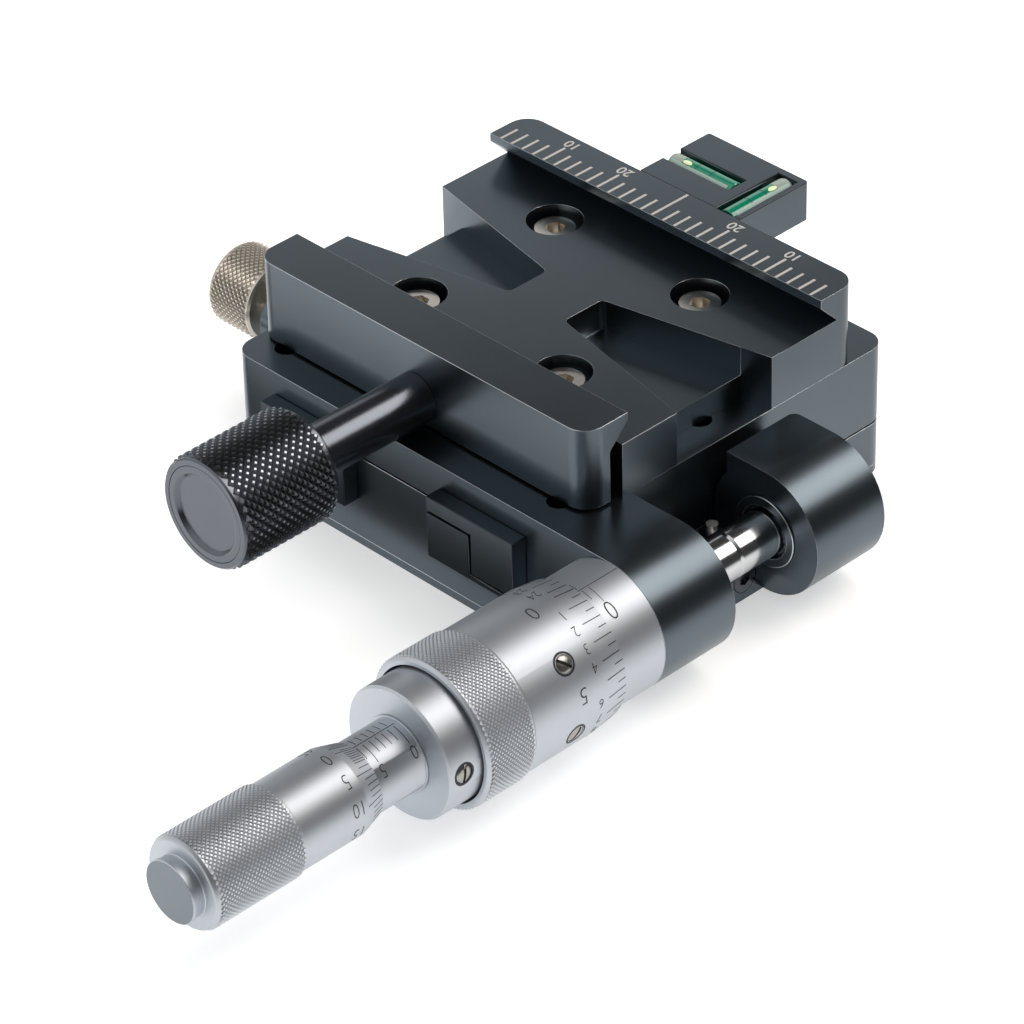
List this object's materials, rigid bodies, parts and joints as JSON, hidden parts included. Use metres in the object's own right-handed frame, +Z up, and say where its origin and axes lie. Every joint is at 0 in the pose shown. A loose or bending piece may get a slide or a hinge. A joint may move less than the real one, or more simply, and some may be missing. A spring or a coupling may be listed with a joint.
{
  "type": "macro focusing rail",
  "caption": "Compact focusing rail: crossed-roller stage with a quick-release clamp on top, driven by a differential micrometer head against a side anvil.",
  "frame": {"origin": "mouth of the tripod thread in the middle of the underside", "axes": "+X along the clamp's jaws, +Y along the travel away from the micrometer, +Z up"},
  "size_m": [0.0984, 0.1396, 0.0318],
  "materials": {
    "black_anodised": "satin black anodised",
    "gloss_black": "gloss black over steel",
    "stainless_screw": "plain stainless steel",
    "ground_steel": "ground hardened steel",
    "cage_brass": "thin rolled brass strip",
    "satin_chrome": "satin chromed steel with engraved scales",
    "champagne_nickel": "pale nickel plated brass",
    "vial_glass": "clear glass tube",
    "green_liquid": "green level liquid, modelled as a solid"
  },
  "bodies": {
    "base": {"base_block": "black_anodised", "bottom_plate": "black_anodised", "bottom_screw_1": "stainless_screw", "bottom_screw_2": "stainless_screw", "bottom_screw_3": "stainless_screw", "bottom_screw_4": "stainless_screw", "base_rail_left": "ground_steel", "base_rail_right": "ground_steel", "base_cap_front_left": "black_anodised", "base_cap_front_right": "black_anodised", "base_cap_rear_left": "black_anodised", "base_cap_rear_right": "black_anodised", "anvil_bracket": "black_anodised", "anvil_screw_1": "stainless_screw", "anvil_screw_2": "stainless_screw", "anvil_bush": "black_anodised", "anvil_pin": "ground_steel", "stop_pin": "stainless_screw", "spindle": "ground_steel", "lock_bracket": "black_anodised"},
    "coarse_head": {"hub": "satin_chrome", "coarse_sleeve": "satin_chrome"},
    "coarse_thimble": {"coarse_thimble": "satin_chrome", "end_button": "satin_chrome"},
    "table": {"table": "black_anodised", "table_rail_left": "ground_steel", "table_rail_right": "ground_steel", "table_cap_front_left": "black_anodised", "table_cap_front_right": "black_anodised", "table_cap_rear_left": "black_anodised", "table_cap_rear_right": "black_anodised", "clamp_body": "black_anodised", "clamp_screw_1": "stainless_screw", "clamp_screw_2": "stainless_screw", "clamp_screw_3": "stainless_screw", "clamp_screw_4": "stainless_screw", "level_block": "black_anodised", "vial_x": "vial_glass", "vial_y": "vial_glass", "liquid_x": "green_liquid", "liquid_y": "green_liquid", "stem": "satin_chrome"},
    "fine_nut": {"fine_nut": "stainless_screw"},
    "fine_thimble": {"fine_thimble": "satin_chrome", "fine_grip": "satin_chrome", "thimble_screw_1": "stainless_screw", "thimble_screw_2": "stainless_screw"},
    "cage_left": {"roller_cage_left": "cage_brass", "rollers_left": "ground_steel"},
    "cage_right": {"roller_cage_right": "cage_brass", "rollers_right": "ground_steel"},
    "jaw": {"front_jaw": "black_anodised", "jaw_pin_left": "ground_steel", "jaw_pin_right": "ground_steel"},
    "clamp_knob": {"clamp_spindle": "gloss_black", "clamp_knob": "gloss_black", "knob_cap": "gloss_black"},
    "lock_pad": {"lock_pad": "champagne_nickel"},
    "lock_knob": {"lock_screw": "stainless_screw", "lock_knob": "champagne_nickel"}
  },
  "joints": [
    {"name": "coarse_spin", "type": "hinge", "parent": "base", "child": "coarse_thimble", "pos_m": [0.0391, -0.086, 0.0106], "axis": [0, 1, 0], "range_deg": [-4680, 4680]},
    {"name": "coarse_feed", "type": "slide", "parent": "base", "child": "coarse_head", "axis": [0, 1, 0], "range_m": [-0.0065, 0.0065]},
    {"name": "fine_feed", "type": "slide", "parent": "coarse_head", "child": "table", "axis": [0, 1, 0], "range_m": [-0.0001, 0.0001]},
    {"name": "fine_nut_slide", "type": "slide", "parent": "table", "child": "fine_nut", "axis": [0, 1, 0], "range_m": [-0.002, 0.002]},
    {"name": "fine_spin", "type": "hinge", "parent": "fine_nut", "child": "fine_thimble", "pos_m": [0.0391, -0.05, 0.0106], "axis": [0, 1, 0], "range_deg": [-1440, 1440]},
    {"name": "cage_left_slide", "type": "slide", "parent": "base", "child": "cage_left", "axis": [0, 1, 0], "range_m": [-0.00325, 0.00325]},
    {"name": "cage_right_slide", "type": "slide", "parent": "base", "child": "cage_right", "axis": [0, 1, 0], "range_m": [-0.00325, 0.00325]},
    {"name": "jaw_slide", "type": "slide", "parent": "table", "child": "jaw", "axis": [0, 1, 0], "range_m": [-0.004, 0.0018]},
    {"name": "clamp_spin", "type": "hinge", "parent": "jaw", "child": "clamp_knob", "pos_m": [0, -0.05, 0.0237], "axis": [0, 1, 0], "range_deg": [-1440, 648]},
    {"name": "lock_pad_slide", "type": "slide", "parent": "base", "child": "lock_pad", "axis": [1, 0, 0], "range_m": [-0.000525, 0.00025]},
    {"name": "lock_spin", "type": "hinge", "parent": "lock_pad", "child": "lock_knob", "pos_m": [-0.045, -0.0122, 0.0136], "axis": [1, 0, 0], "range_deg": [-270, 129]}
  ],
  "couplings": [
    {"joint": "coarse_spin", "follows": "coarse_feed", "rad_per_m": -12566},
    {"joint": "cage_left_slide", "follows": "coarse_feed", "ratio": 0.5},
    {"joint": "cage_right_slide", "follows": "coarse_feed", "ratio": 0.5},
    {"joint": "fine_spin", "follows": "fine_nut_slide", "rad_per_m": 12566},
    {"joint": "fine_feed", "follows": "fine_nut_slide", "ratio": -0.05},
    {"joint": "clamp_spin", "follows": "jaw_slide", "rad_per_m": 6283},
    {"joint": "lock_spin", "follows": "lock_pad_slide", "rad_per_m": 8975.9}
  ]
}
